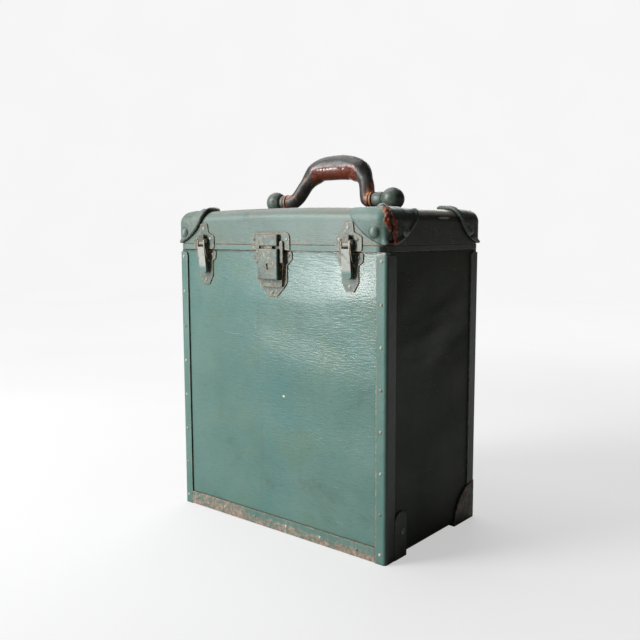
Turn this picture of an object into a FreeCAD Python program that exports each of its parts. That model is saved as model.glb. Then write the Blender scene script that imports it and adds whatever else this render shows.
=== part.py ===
import FreeCAD, Part
import math
import os

# Hard-sided carrying case: a boarded body, a hinged lid, two draw latches, a lock and a swinging handle.
# Millimetres, Z up, front towards -Y, origin on the table under the middle of the body.

os.makedirs("parts", exist_ok=True)
V = FreeCAD.Vector
UP = V(0, 0, 1)
FRONT = V(0, -1, 0)

# Extra length of a cutting tool past the face it cuts
past = 1.0

# Body boards
case_width = 286.0
case_depth = 171.0
seam_height = 300.0
board = 6.0
edge_round = 2.0
floor_board = 6.5
side_lift = 3.0
floor_setback = 3.0

# Binding strips of fibre along the front and back edges
strip = 1.5
strip_face = 12.5
strip_side = 15.5
strip_bottom = 15.0
strip_under = 15.0
strip_stop = 3.0
strip_end_round = 4.0
strip_gap = 0.2

# Nails in the bindings
nail_head = 1.75
nail_dome = 0.9
nail_shank = 0.7
nail_length = 6.0
nail_first = 9.7
nail_last_drop = 5.41
nail_count = 8
nail_inset = 6.3
nail_low = 8.0
low_nail_right_in = 33.0
low_nail_left_in = 19.5
low_nail_count = 6

# Leather protectors at the bottom corners
tongue_leather = 2.0
tongue_reach = 20.5
tongue_height = 47.0
tongue_round = 10.0
tongue_under = 26.0
heel_leather = 2.2
heel_radius = 42.0
heel_gap = 0.4
protector_rivet = 3.2
protector_dome = 1.3
tongue_rivet_in = 15.0
tongue_rivet_up = 26.0
heel_rivet_in = 19.0

# Wooden battens, mouth lip and paper lining inside the body
batten = 10.0
lip = 3.0
lip_depth = 20.0
lip_rise = 9.0
lining = 0.6
lining_gap = 0.3

# Lid
seam_gap = 0.3
lid_overhang = 3.0
lid_rise = 44.5
lid_crown = 3.5
lid_wall = 4.5
lid_corner = 13.0
lid_edge = 12.0
rim_height = 6.0
rim_depth = 0.8
rim_groove = 0.6

# Leather caps on the lid corners, cut to a ball's outline
cap_leather = 1.8
cap_ball = 65.0
cap_ball_out_x = 11.5
cap_ball_out_y = 4.0
cap_ball_up = 28.0
cap_clear = 0.3
cap_rivet = 5.0
cap_dome = 2.9
cap_shank = 1.6
cap_grip = 3.6
cap_rivet_up = 19.0
cap_front_in = 14.7
cap_side_in = 27.0
cap_top_in = 22.0

# Butt hinges on the back
hinge_in = 61.0
hinge_width = 36.0
hinge_leaf = 1.2
hinge_tall = 27.0
hinge_knuckle = 2.8
hinge_pin = 1.4
hinge_gap = 0.35
knuckle_gap = 0.3
knuckle_count = 5
rail_height = 32.0
rail_end_gap = 1.0
running_fit = 0.05
hinge_rivet_side = 11.0
hinge_rivet_in = 12.0
hinge_rivet_out = 21.0

# Small rivets that hold the metal fittings
rivet_head = 1.8
rivet_dome = 0.9
rivet_shank = 0.8
rivet_length = 4.0

# Draw latches
latch_in = 42.0
plate = 1.0
plate_seam = 1.0
plate_round = 2.2
base_top = 16.0
base_taper = 1.0
base_rivet_up = 5.5
base_waist = 10.2
base_tip = 4.6
base_shoulder = 8.5
base_neck = 12.0
base_long = 28.0
base_length = 37.5
keeper_foot = 16.0
keeper_shoulder = 13.5
keeper_neck = 18.0
keeper_lobe = 5.6
keeper_taper = 1.0
keeper_rivet_drop = 2.7
keeper_length = 27.5
cheek = 1.0
cheek_front = 9.6
cheek_head = 3.0
cheek_low = 14.0
cheek_clear = 0.7
cheek_drop = 1.2
lever_half = 5.2
lever_side_gap = 0.4
lever_sheet = 1.0
lever_pivot_up = 9.0
lever_pivot_out = 7.0
lever_eye = 2.2
lever_web_top = 6.0
lever_top_out = 9.0
lever_tip_out = 5.8
lever_length = 35.0
lever_end_round = 4.0
lever_back = 3.2
lever_stud = 1.0
stud_head = 1.8
stud_cap = 0.6
hook_pivot_down = 3.8
hook_half = 3.8
hook_eye = 1.7
hook_pin = 0.9
hook_sheet = 1.4
hook_length = 11.0
hook_lip = 1.8
hook_lip_in = 1.3
tongue_half = 3.4
tongue_out = 1.1
tongue_low = 8.5
tongue_tall = 2.6

# Lock: case on the body, strike on the lid
lock_half = 27.0
lock_shoulder = 8.0
lock_waist = 20.5
lock_waist_top = 13.5
lock_waist_low = 31.0
lock_step = 37.0
lock_step_half = 16.0
lock_tip_half = 6.0
lock_length = 46.5
lock_rivet_up = 4.2
platform_out = 3.5
platform_half = 19.0
platform_low_half = 15.0
platform_drop = 36.0
ear_in = 14.4
ear_half = 2.1
ear_sheet = 1.2
ear_rise = 10.0
ear_round = 1.9
ear_foot = 13.0
lock_case_half = 14.0
lock_case_out = 9.0
lock_case_wall = 1.0
lock_case_top = 2.0
lock_case_drop = 29.0
lock_case_round = 1.5
strike_half = 26.5
strike_top = 18.5
strike_round = 6.0
strike_box_half = 13.2
strike_box_low = 4.4
strike_box_high = 16.7
strike_box_out = 8.0
strike_box_round = 1.5
strike_rivet_up = 11.5
bar_half = 5.0
bar_sheet = 1.2
bar_out = 5.8
bar_reach = 10.0
bar_slot_gap = 0.9
bar_notch_deep = 4.4
bar_notch_tall = 4.4
bolt_tall = 3.4
bolt_long = 6.6
bolt_gap = 0.3
bolt_guide = 0.8
bolt_guide_out = 1.6
keyhole_drop = 13.6
keyhole_round = 1.7
keyhole_slot = 0.9
keyhole_long = 5.0
key_post = 0.8

# Handle: ball posts on the lid, leather grip over a core
pivot_y = 6.5
pivot_rise = 8.7
post_x = 86.5
post_ball = 12.2
post_neck = 7.4
post_neck_sink = 6.0
post_neck_end = 62.4
post_waist = 7.9
post_pin = 3.0
post_pin_end = 50.0
post_spigot = 2.5
post_spigot_in = 3.2
grip_end = 60.0
grip_bend = 56.0
grip_pull_low = 20.0
grip_pull_high = 50.0
grip_rise = 43.0
grip_leg = 8.0
grip_thick = 12.4
grip_swell_from = 0.50
grip_swell_to = 0.80
grip_stations = 11
stub_stations = 2
core_radius = 5.5
washer_gap = 0.15
washer_radius = 8.4
handle_lean = 23.0

# Places worked out from the sizes
half_w = case_width / 2
half_d = case_depth / 2
inner_w = half_w - board
inner_d = half_d - board
floor_z = strip
floor_top = floor_z + floor_board
side_z = floor_z + side_lift
strip_top = seam_height - strip_stop
lid_x = half_w + lid_overhang
lid_y = half_d + lid_overhang
lid_low = seam_height + seam_gap
lid_top = seam_height + lid_rise
crown_radius = (lid_x ** 2 + lid_crown ** 2) / (2 * lid_crown)
crown_centre = V(0, 0, lid_top - crown_radius)
rim_top = lid_low + rim_height
hinge_x = half_w - hinge_in
latch_x = half_w - latch_in
nail_pitch = (strip_top - nail_last_drop - nail_first) / (nail_count - 1)
low_nail_first = half_w - low_nail_right_in
low_nail_pitch = (case_width - low_nail_right_in - low_nail_left_in) / (low_nail_count - 1)
SIDES = (("left", -1), ("right", 1))
ENDS = (("front", -1), ("back", 1))


def box(x0, x1, y0, y1, z0, z1):
    low = V(min(x0, x1), min(y0, y1), min(z0, z1))
    return Part.makeBox(abs(x1 - x0), abs(y1 - y0), abs(z1 - z0), low)


def rod(radius, start, end):
    line = end - start
    return Part.makeCylinder(radius, line.Length, start, line)


def edges_along(shape, direction):
    found = []
    for edge in shape.Edges:
        if len(edge.Vertexes) == 2:
            line = edge.Vertexes[1].Point - edge.Vertexes[0].Point
            if line.Length > 0 and abs(line.normalize().dot(direction)) > 0.999:
                found.append(edge)
    return found


def edges_at(shape, direction, **place):
    # edges along a direction whose middle has the given x, y or z
    found = []
    for edge in edges_along(shape, direction):
        middle = (edge.Vertexes[0].Point + edge.Vertexes[1].Point) * 0.5
        if all(abs(abs(getattr(middle, axis)) - abs(value)) < 1e-4 for axis, value in place.items()):
            found.append(edge)
    return found


def plate_of(points, y_back, thick, corner):
    # a sheet cut to an outline in the front view, mirrored about X = 0, its corners rounded
    mirrored = [(-x, z) for x, z in reversed(points)]
    corners = [V(x, y_back, z) for x, z in points + mirrored]
    sheet = Part.Face(Part.makePolygon(corners + corners[:1])).extrude(FRONT * thick)
    return sheet.makeFillet(corner, edges_along(sheet, FRONT))


def side_profile(points, x0, x1):
    # an outline in the side view, given as distance out from the front board and height
    corners = [V(x0, -half_d - out, z) for out, z in points]
    return Part.Face(Part.makePolygon(corners + corners[:1])).extrude(V(x1 - x0, 0, 0))


def one_solid(shape):
    solids = shape.Solids
    if len(solids) != 1:
        raise ValueError("a piece came out as %d solids" % len(solids))
    return solids[0].removeSplitter()


def dome_rivet(point, outward, head, dome, shank, length):
    ball = (head ** 2 + dome ** 2) / (2 * dome)
    cap = Part.makeSphere(ball, V(0, 0, dome - ball)).common(box(-head, head, -head, head, 0, dome))
    rivet = one_solid(cap.fuse(Part.makeCylinder(shank, length, V(0, 0, -length))))
    rivet.Placement = FreeCAD.Placement(point, FreeCAD.Rotation(UP, outward))
    return rivet


def small_rivet(x, y, z, outward):
    return dome_rivet(V(x, y, z), outward, rivet_head, rivet_dome, rivet_shank, rivet_length)


def save(node, shape):
    if isinstance(shape, list):
        shape = Part.makeCompound(shape)
    if not shape.isValid():
        raise ValueError(node + " is not a valid solid")
    shape.exportStep("parts/" + node + ".step")


def carcass(grow, z0, z1):
    # the boards' outer form, or that form grown by a covering's thickness
    block = box(-half_w - grow, half_w + grow, -half_d - grow, half_d + grow, z0, z1)
    return block.makeFillet(edge_round + grow, edges_along(block, UP))


# Body boards: front and back over the side boards' ends, bottom board rebated under the sides
whole = carcass(0, floor_z, seam_height)
for end, sy in ENDS:
    slab = box(-half_w, half_w, sy * inner_d, sy * half_d, 0, seam_height)
    save(end + "_board", one_solid(whole.common(slab)))
for side, sx in SIDES:
    save(side + "_board", box(sx * inner_w, sx * half_w, -inner_d, inner_d, side_z, seam_height))
floor_wide = half_w - floor_setback
floor_panel = box(-floor_wide, floor_wide, -inner_d, inner_d, floor_z, side_z)
floor_panel = floor_panel.fuse(box(-inner_w, inner_w, -inner_d, inner_d, side_z, floor_top))
save("bottom_board", one_solid(floor_panel))

# Inside: corner battens, a raised lip round the mouth and a paper lining
lip_low = seam_height - lip_depth
lip_top = seam_height + lip_rise
battens = []
for sx in (-1, 1):
    for sy in (-1, 1):
        x_in = sx * (inner_w - batten)
        y_in = sy * (inner_d - batten)
        battens.append(box(sx * inner_w, x_in, sy * inner_d, y_in, floor_top, lip_low))
save("corner_battens", battens)

lips = []
for sign in (-1, 1):
    lips.append(box(-inner_w, inner_w, sign * inner_d, sign * (inner_d - lip), lip_low, lip_top))
    lips.append(box(sign * inner_w, sign * (inner_w - lip), lip - inner_d, inner_d - lip, lip_low, lip_top))
save("mouth_lip", lips)

paper_x = inner_w - batten - lining_gap
paper_y = inner_d - batten - lining_gap
paper_low = floor_top + lining
paper_top = lip_low - lining_gap
papers = [box(-paper_x, paper_x, -paper_y, paper_y, floor_top, paper_low)]
for sign in (-1, 1):
    papers.append(box(-paper_x, paper_x, sign * inner_d, sign * (inner_d - lining), paper_low, paper_top))
    papers.append(box(sign * inner_w, sign * (inner_w - lining), -paper_y, paper_y, paper_low, paper_top))
save("body_lining", papers)

# Bindings: an angle strip on each upright edge and along the bottom of front and back
heel_balls = []
for sx in (-1, 1):
    heel_balls.append(Part.makeSphere(heel_radius + heel_gap, V(sx * half_w, half_d, 0)))
strip_skin = carcass(strip, 0, strip_top).cut(carcass(0, 0, strip_top))
strip_x = half_w + strip - strip_face
strip_y = half_d + strip - strip_side
for end, sy in ENDS:
    for side, sx in SIDES:
        corner = box(sx * strip_x, sx * (half_w + strip), sy * strip_y, sy * (half_d + strip), 0, strip_top)
        angle = one_solid(strip_skin.common(corner))
        ends = edges_at(angle, FRONT, x=strip_x, z=strip_top)
        ends += edges_at(angle, V(1, 0, 0), y=strip_y, z=strip_top)
        angle = angle.makeFillet(strip_end_round, ends)
        if end == "back":
            for ball in heel_balls:
                angle = angle.cut(ball)
        save("%s_%s_binding" % (end, side), one_solid(angle))
    low_x = strip_x - strip_gap
    face_y = half_d + strip
    outside = box(-low_x, low_x, sy * face_y, sy * (face_y - strip_under), 0, strip_bottom)
    outside = outside.makeFillet(strip, edges_at(outside, V(1, 0, 0), y=face_y, z=0))
    angle = outside.cut(box(-half_w, half_w, -half_d, half_d, floor_z, seam_height))
    if end == "back":
        for ball in heel_balls:
            angle = angle.cut(ball)
    save(end + "_bottom_binding", one_solid(angle))

# Nails, left out at the back where the heel protectors lie
for end, sy in ENDS:
    nails = []
    nail_y = sy * (half_d + strip)
    spots = []
    for side, sx in SIDES:
        for k in range(nail_count):
            spots.append((sx * (half_w + strip - nail_inset), nail_first + k * nail_pitch))
    for k in range(low_nail_count):
        spots.append((low_nail_first - k * low_nail_pitch, nail_low))
    for x, z in spots:
        to_corner = math.hypot(half_w - abs(x), z)
        if end == "front" or to_corner > heel_radius + heel_gap + nail_head:
            point = V(x, nail_y, z)
            nails.append(dome_rivet(point, V(0, sy, 0), nail_head, nail_dome, nail_shank, nail_length))
    save(end + "_nails", nails)

# Leather protectors: a tongue behind each front binding, a three-sided heel at each back corner
protector_rivets = []


def protector_stud(point, outward):
    protector_rivets.append(
        dome_rivet(point, outward, protector_rivet, protector_dome, rivet_shank, rivet_length)
    )


heel_skin = carcass(heel_leather, 0, heel_radius).cut(carcass(0, floor_z, heel_radius + past))
for side, sx in SIDES:
    y0 = -strip_y + strip_gap
    y1 = y0 + tongue_reach
    x_out = sx * (half_w + tongue_leather)
    tongue = box(sx * half_w, x_out, y0, y1, 0, tongue_height)
    tongue = tongue.makeFillet(tongue_round, edges_at(tongue, V(1, 0, 0), z=tongue_height))
    tongue = tongue.fuse(box(x_out, sx * (half_w - tongue_under), y0, y1, 0, floor_z))
    save("front_%s_protector" % side, one_solid(tongue))
    protector_stud(V(x_out, y0 + tongue_rivet_in, tongue_rivet_up), V(sx, 0, 0))
    heel = heel_skin.common(Part.makeSphere(heel_radius, V(sx * half_w, half_d, 0)))
    save("back_%s_protector" % side, one_solid(heel))
    protector_stud(V(sx * (half_w + heel_leather), half_d - heel_rivet_in, heel_rivet_in), V(sx, 0, 0))
    protector_stud(V(sx * (half_w - heel_rivet_in), half_d + heel_leather, heel_rivet_in), V(0, 1, 0))
save("protector_rivets", protector_rivets)


# Lid form: rounded in plan, crowned like a shallow dome, its upper edge rounded over
def lid_plan(grow, z0, z1):
    block = box(-lid_x - grow, lid_x + grow, -lid_y - grow, lid_y + grow, z0, z1)
    return block.makeFillet(lid_corner + grow, edges_along(block, UP))


def lid_form(grow, low):
    dome = Part.makeSphere(crown_radius + grow, crown_centre, V(1, 0, 0))
    dome.rotate(crown_centre, V(1, 0, 0), 180)
    form = lid_plan(grow, low, lid_top + grow + past).common(dome)
    crown = max(form.Faces, key=lambda face: face.CenterOfMass.z)
    return form.makeFillet(lid_edge + grow, crown.Edges)


def crown_height(x, y):
    return crown_centre.z + math.sqrt(crown_radius ** 2 - x ** 2 - y ** 2)


lid_outer = lid_form(0, lid_low)
lid_inner = lid_form(-lid_wall, lid_low - past)
rim_inner = lid_plan(-rim_depth, lid_low - past, rim_top + past)
rebate = lid_plan(past, lid_low, rim_top).cut(rim_inner)
save("lid_shell", one_solid(lid_outer.cut(lid_inner).cut(rebate)))
save("lid_rim", one_solid(lid_plan(0, lid_low, rim_top - rim_groove).cut(rim_inner)))
lid_paper = lid_form(-lid_wall, lid_low).cut(lid_form(-lid_wall - lining, lid_low - past))
save("lid_lining", one_solid(lid_paper))

# Corner caps and their dome rivets
cap_skin = lid_form(cap_leather, rim_top + cap_clear).cut(lid_outer)
cap_rivets = []


def cap_stud(point, outward):
    cap_rivets.append(dome_rivet(point, outward, cap_rivet, cap_dome, cap_shank, cap_grip))


corner_z = lid_top - lid_crown
for end, sy in ENDS:
    for side, sx in SIDES:
        ball = V(sx * (lid_x + cap_ball_out_x), sy * (lid_y + cap_ball_out_y), corner_z + cap_ball_up)
        save("%s_%s_cap" % (end, side), one_solid(cap_skin.common(Part.makeSphere(cap_ball, ball))))
        face_y = sy * (lid_y + cap_leather)
        face_x = sx * (lid_x + cap_leather)
        stud_z = seam_height + cap_rivet_up
        cap_stud(V(sx * (lid_x - cap_front_in), face_y, stud_z), V(0, sy, 0))
        cap_stud(V(face_x, sy * (lid_y - cap_side_in), stud_z), V(sx, 0, 0))
        normal = V(sx * (lid_x - cap_top_in), sy * (lid_y - cap_top_in), 0)
        normal.z = math.sqrt(crown_radius ** 2 - normal.Length ** 2)
        normal.normalize()
        cap_stud(crown_centre + normal * (crown_radius + cap_leather), normal)
save("cap_rivets", cap_rivets)

# Butt hinges: a rail brings the body's back out to the lid's, so that the leaves lie in one plane
body_rivets = []
lid_rivets = []
back_y = half_d + lid_overhang
rail_x = strip_x - rail_end_gap
save("hinge_rail", box(-rail_x, rail_x, half_d, back_y, seam_height - rail_height, seam_height))
axis_y = back_y + hinge_knuckle + hinge_gap
axis_z = seam_height
knuckle = hinge_width / knuckle_count
leaf_start = hinge_knuckle + knuckle_gap
for side, sx in SIDES:
    first = sx * hinge_x - hinge_width / 2
    last = first + hinge_width
    start = V(first, axis_y, axis_z)
    bore = rod(hinge_pin + running_fit, start - V(past, 0, 0), start + V(hinge_width + past, 0, 0))
    for owner, up in (("body", -1), ("lid", 1)):
        leaf_near = axis_z + up * leaf_start
        leaf = box(first, last, back_y, back_y + hinge_leaf, leaf_near, axis_z + up * hinge_tall)
        for k in range(knuckle_count):
            if (k % 2 == 0) == (owner == "body"):
                x0 = first + k * knuckle + knuckle_gap / 2
                x1 = x0 + knuckle - knuckle_gap
                leaf = leaf.fuse(rod(hinge_knuckle, V(x0, axis_y, axis_z), V(x1, axis_y, axis_z)))
                web = box(x0, x1, back_y, back_y + hinge_leaf, axis_z + up * seam_gap, leaf_near)
                leaf = leaf.fuse(web)
        save("%s_hinge_%s_leaf" % (side, owner), one_solid(leaf.cut(bore)))
        rivets = body_rivets if owner == "body" else lid_rivets
        for way in (-1, 0, 1):
            out = hinge_rivet_in if way else hinge_rivet_out
            x = sx * hinge_x + way * hinge_rivet_side
            rivets.append(small_rivet(x, back_y + hinge_leaf, axis_z + up * out, V(0, 1, 0)))
    save(side + "_hinge_pin", rod(hinge_pin, start, start + V(hinge_width, 0, 0)))

# Draw latches: base with two cheeks, lever hung between them, hook hung in the lever, keeper on the lid
plate_top = seam_height - plate_seam
keeper_low = seam_height + plate_seam
keeper_face = lid_overhang + plate
pivot_z = seam_height + lever_pivot_up
hook_z = pivot_z - hook_pivot_down
cheek_back = keeper_face + cheek_clear
cheek_in = lever_half + lever_side_gap
web_top = pivot_z - lever_web_top
tip_z = pivot_z - lever_length
eye_back = lever_pivot_out - lever_eye
hook_top = hook_z + hook_length
base_outline = [
    (base_top, plate_top),
    (base_top - base_taper, plate_top - base_shoulder),
    (base_waist, plate_top - base_neck),
    (base_waist, plate_top - base_long),
    (base_tip, plate_top - base_length),
]
keeper_outline = [
    (keeper_lobe, keeper_low + keeper_length),
    (keeper_lobe + keeper_taper, keeper_low + keeper_neck),
    (keeper_foot, keeper_low + keeper_shoulder),
    (keeper_foot, keeper_low),
]
cheek_outline = [
    (plate / 2, plate_top - cheek_low),
    (plate / 2, plate_top - cheek_drop),
    (cheek_back, plate_top - cheek_drop),
    (cheek_back, pivot_z + cheek_head),
    (cheek_front, pivot_z + cheek_head),
    (cheek_front, pivot_z - cheek_head),
    (cheek_front - cheek_head, plate_top - cheek_low / 2),
]
flange_outline = [
    (eye_back, pivot_z),
    (eye_back, plate_top + plate_seam / 2),
    (lever_back, plate_top - lever_eye),
    (lever_back, tip_z + lever_end_round),
    (lever_tip_out, tip_z),
    (lever_top_out, web_top),
    (lever_pivot_out + lever_eye, pivot_z),
]
web_outline = [
    (lever_top_out, web_top),
    (lever_top_out - lever_sheet, web_top),
    (lever_tip_out - lever_sheet, tip_z),
    (lever_tip_out, tip_z),
]
for side, sx in SIDES:
    shift = V(sx * latch_x, 0, 0)
    pivot = V(0, -half_d - lever_pivot_out, pivot_z)
    joint = V(0, -half_d - lever_pivot_out, hook_z)
    across = V(lever_half + lever_side_gap + cheek + stud_cap, 0, 0)

    base = plate_of(base_outline, -half_d, plate, plate_round)
    studs = []
    for way in (-1, 1):
        wing = side_profile(cheek_outline, way * cheek_in, way * (cheek_in + cheek))
        crown = edges_at(wing, V(1, 0, 0), y=half_d + cheek_front, z=pivot_z + cheek_head)
        wing = wing.makeFillet(cheek_head, crown)
        base = base.fuse(wing)
        outer = V(way * (cheek_in + cheek), 0, 0)
        stud = rod(lever_stud, pivot + V(way * (lever_half - lever_sheet), 0, 0), pivot + outer)
        studs.append(one_solid(stud.fuse(rod(stud_head, pivot + outer, pivot + across * way))))
    base = base.cut(rod(lever_stud, pivot - across, pivot + across))
    save(side + "_latch_base", one_solid(base.translated(shift)))
    save(side + "_latch_studs", [stud.translated(shift) for stud in studs])

    lever = side_profile(web_outline, -lever_half, lever_half)
    for way in (-1, 1):
        inside = way * (lever_half - lever_sheet)
        lever = lever.fuse(side_profile(flange_outline, inside, way * lever_half))
        lever = lever.fuse(rod(lever_eye, pivot + V(inside, 0, 0), pivot + V(way * lever_half, 0, 0)))
    front_view = box(-lever_half, lever_half, -half_d - cheek_front, -half_d, tip_z, pivot_z + lever_eye)
    lever = lever.common(front_view.makeFillet(lever_end_round, edges_at(front_view, FRONT, z=tip_z)))
    lever = lever.cut(rod(lever_stud + running_fit, pivot - across, pivot + across))
    lever = lever.cut(rod(hook_pin, joint - across, joint + across))
    save(side + "_lever", one_solid(lever.translated(shift)))
    reach = V(lever_half, 0, 0)
    save(side + "_hook_pin", rod(hook_pin, joint - reach, joint + reach).translated(shift))

    hook = rod(hook_eye, joint - V(hook_half, 0, 0), joint + V(hook_half, 0, 0))
    hook_front = lever_pivot_out + hook_sheet
    shank = box(-hook_half, hook_half, joint.y, -half_d - hook_front, hook_z, hook_top)
    lip_back = -half_d - lever_pivot_out + hook_lip_in
    hook_end = box(-hook_half, hook_half, lip_back, joint.y, hook_top - hook_lip, hook_top)
    hook = hook.fuse(shank).fuse(hook_end)
    hook = hook.cut(rod(hook_pin + running_fit, joint - reach, joint + reach))
    save(side + "_hook", one_solid(hook.translated(shift)))

    keeper = plate_of(keeper_outline, -lid_y, plate, plate_round)
    tongue_z = seam_height + tongue_low
    tongue_y = -lid_y - plate
    tongue_end = tongue_y - tongue_out
    tongue = box(-tongue_half, tongue_half, tongue_y, tongue_end, tongue_z, tongue_z + tongue_tall)
    keeper = keeper.fuse(tongue)
    save(side + "_keeper", one_solid(keeper.translated(shift)))

    base_y = -half_d - plate
    keeper_rivet_z = keeper_low + keeper_shoulder - keeper_rivet_drop
    for way in (-1, 1):
        out = way * (base_top + cheek_in) / 2
        body_rivets.append(small_rivet(shift.x + out, base_y, plate_top - base_shoulder / 2, FRONT))
        lid_rivets.append(small_rivet(shift.x + out, tongue_y, keeper_rivet_z, FRONT))
    body_rivets.append(small_rivet(shift.x, base_y, plate_top - base_length + base_rivet_up, FRONT))
    lid_rivets.append(small_rivet(shift.x, tongue_y, keeper_low + keeper_length - keeper_lobe, FRONT))

# Lock: shield plate with raised platform and ears, hollow case with a keyhole, strike with a notched bar
lock_outline = [
    (lock_half, plate_top),
    (lock_half, plate_top - lock_shoulder),
    (lock_waist, plate_top - lock_waist_top),
    (lock_waist, plate_top - lock_waist_low),
    (lock_step_half, plate_top - lock_step),
    (lock_tip_half, plate_top - lock_length),
]
platform_outline = [
    (platform_half, plate_top),
    (platform_low_half, plate_top - platform_drop),
]
ear_outline = [
    (platform_out, plate_top - ear_foot),
    (platform_out, plate_top - cheek_drop),
    (cheek_back, plate_top - cheek_drop),
    (cheek_back, seam_height + ear_rise),
    (cheek_back + ear_sheet, seam_height + ear_rise),
    (cheek_back + ear_sheet, plate_top - ear_foot + ear_half),
]
shield = plate_of(lock_outline, -half_d, plate, plate_round)
shield = shield.fuse(plate_of(platform_outline, -half_d - plate, platform_out - plate, plate_round))
for way in (-1, 1):
    ear = side_profile(ear_outline, way * ear_in, way * (ear_in + 2 * ear_half))
    top_edges = edges_at(ear, FRONT, z=seam_height + ear_rise)
    shield = shield.fuse(ear.makeFillet(ear_round, top_edges))
bolt_z = seam_height + strike_box_low - bar_reach
guide_x0 = bar_half + bolt_gap
guide_x1 = guide_x0 + bolt_long
platform_y = -half_d - platform_out
for way in (-1, 1):
    guide_z = bolt_z + way * (bolt_tall / 2 + bolt_gap)
    guide_far = guide_z + way * bolt_guide
    guide_y = platform_y - bolt_guide_out
    guide = box(-guide_x0 - bolt_guide, -guide_x1, platform_y, guide_y, guide_z, guide_far)
    shield = shield.fuse(guide)
keyhole_z = plate_top - keyhole_drop
case_y = -half_d - lock_case_out
post_end = V(0, case_y + lock_case_wall, keyhole_z)
shield = shield.fuse(rod(key_post, V(0, platform_y, keyhole_z), post_end))
save("lock_plate", one_solid(shield))

case_low = plate_top - lock_case_drop
case_top = seam_height + lock_case_top
lock_case = box(-lock_case_half, lock_case_half, platform_y, case_y, case_low, plate_top)
raised = box(-lock_case_half, lock_case_half, -half_d - cheek_back, case_y, plate_top, case_top)
lock_case = lock_case.fuse(raised).removeSplitter()
front_edges = edges_at(lock_case, UP, y=case_y) + edges_at(lock_case, V(1, 0, 0), y=case_y)
lock_case = lock_case.makeFillet(lock_case_round, front_edges)
room_half = lock_case_half - lock_case_wall
room_low = case_low + lock_case_wall
room_top = plate_top - lock_case_wall
room = box(-room_half, room_half, platform_y, case_y + lock_case_wall, room_low, room_top)
slot_half = bar_half + bar_slot_gap
bar_back = -half_d - bar_out
bar_front = bar_back - bar_sheet
slot_back = bar_back + bar_slot_gap
slot_front = bar_front - bar_slot_gap
slot = box(-slot_half, slot_half, slot_back, slot_front, bolt_z, case_top + past)
hole_out = case_y - past
hole_in = case_y + lock_case_wall + past
hole = rod(keyhole_round, V(0, hole_out, keyhole_z), V(0, hole_in, keyhole_z))
hole = hole.fuse(box(-keyhole_slot, keyhole_slot, hole_out, hole_in, keyhole_z, keyhole_z - keyhole_long))
save("lock_case", one_solid(lock_case.cut(room).cut(slot).cut(hole)))

strike_y = -lid_y - plate
strike_high = seam_height + strike_top
strike = box(-strike_half, strike_half, -lid_y, strike_y, keeper_low, strike_high)
strike = strike.makeFillet(strike_round, edges_at(strike, FRONT, z=strike_high))
box_y = -half_d - strike_box_out
strike_low = seam_height + strike_box_low
hood = box(-strike_box_half, strike_box_half, strike_y, box_y, strike_low, seam_height + strike_box_high)
hood_edges = edges_at(hood, UP, y=box_y) + edges_at(hood, V(1, 0, 0), y=box_y)
strike = strike.fuse(hood.makeFillet(strike_box_round, hood_edges))
bar_low = bolt_z - bar_notch_tall
bar = box(-bar_half, bar_half, bar_back, bar_front, bar_low, strike_low)
notch_low = bolt_z - bar_notch_tall / 2
notch_high = notch_low + bar_notch_tall
notch = box(-bar_half, bar_notch_deep - bar_half, bar_back, bar_front, notch_low, notch_high)
save("lock_strike", one_solid(strike.fuse(bar.cut(notch))))
bolt_front = case_y + lock_case_wall + bolt_gap
bolt_low = bolt_z - bolt_tall / 2
bolt = box(-guide_x0, -guide_x1, platform_y - bolt_gap, bolt_front, bolt_low, bolt_low + bolt_tall)
save("lock_bolt", bolt)

for way in (-1, 1):
    out = way * (lock_half + platform_half) / 2
    body_rivets.append(small_rivet(out, -half_d - plate, plate_top - lock_shoulder / 2, FRONT))
    lid_rivets.append(small_rivet(out, strike_y, seam_height + strike_rivet_up, FRONT))
body_rivets.append(small_rivet(0, -half_d - plate, plate_top - lock_length + lock_rivet_up, FRONT))
save("body_rivets", body_rivets)
save("lid_rivets", lid_rivets)

# Handle posts: a ball seated on the lid, a neck, and a pin for the handle
swing_z = lid_top + pivot_rise
for side, sx in SIDES:
    centre = V(sx * post_x, pivot_y, swing_z)
    neck_start = V(sx * (post_x - post_neck_sink), pivot_y, swing_z)
    neck_end = V(sx * post_neck_end, pivot_y, swing_z)
    pin_end = V(sx * post_pin_end, pivot_y, swing_z)
    post = Part.makeSphere(post_ball, centre)
    neck = neck_end - neck_start
    post = post.fuse(Part.makeCone(post_waist, post_neck, neck.Length, neck_start, neck))
    post = post.fuse(rod(post_pin, neck_start, pin_end)).cut(lid_outer)
    foot_z = crown_height(centre.x, centre.y) - post_spigot_in
    post = post.fuse(rod(post_spigot, V(centre.x, centre.y, foot_z), centre))
    save(side + "_handle_post", one_solid(post))


# Handle: an arch from end to end, worked out as a straight stub and a curve on each half
def blend(points, shares):
    x = sum(share * point[0] for share, point in zip(shares, points))
    z = sum(share * point[1] for share, point in zip(shares, points))
    return V(x, 0, z)


def arch(t):
    # place and heading on the right half: t below 0 on the stub, 1 at the middle
    if t < 0:
        return V(grip_bend - t * (grip_end - grip_bend), 0, 0), V(-1, 0, 0)
    points = ((grip_bend, 0), (grip_bend - grip_pull_low, 0), (grip_pull_high, grip_rise), (0, grip_rise))
    weights = ((1 - t) ** 3, 3 * t * (1 - t) ** 2, 3 * t * t * (1 - t), t ** 3)
    slopes = (-3 * (1 - t) ** 2, 3 * (1 - t) * (1 - 3 * t), 3 * t * (2 - 3 * t), 3 * t * t)
    return blend(points, weights), blend(points, slopes).normalize()


def swell(t):
    share = min(1, max(0, (t - grip_swell_from) / (grip_swell_to - grip_swell_from)))
    return share * share * (3 - 2 * share)


def ring(radius, place, heading):
    turned = Part.Wire(Part.makeCircle(radius))
    turned.rotate(V(0, 0, 0), V(0, 1, 0), math.degrees(math.atan2(heading.x, heading.z)))
    turned.translate(place)
    return turned


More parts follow.
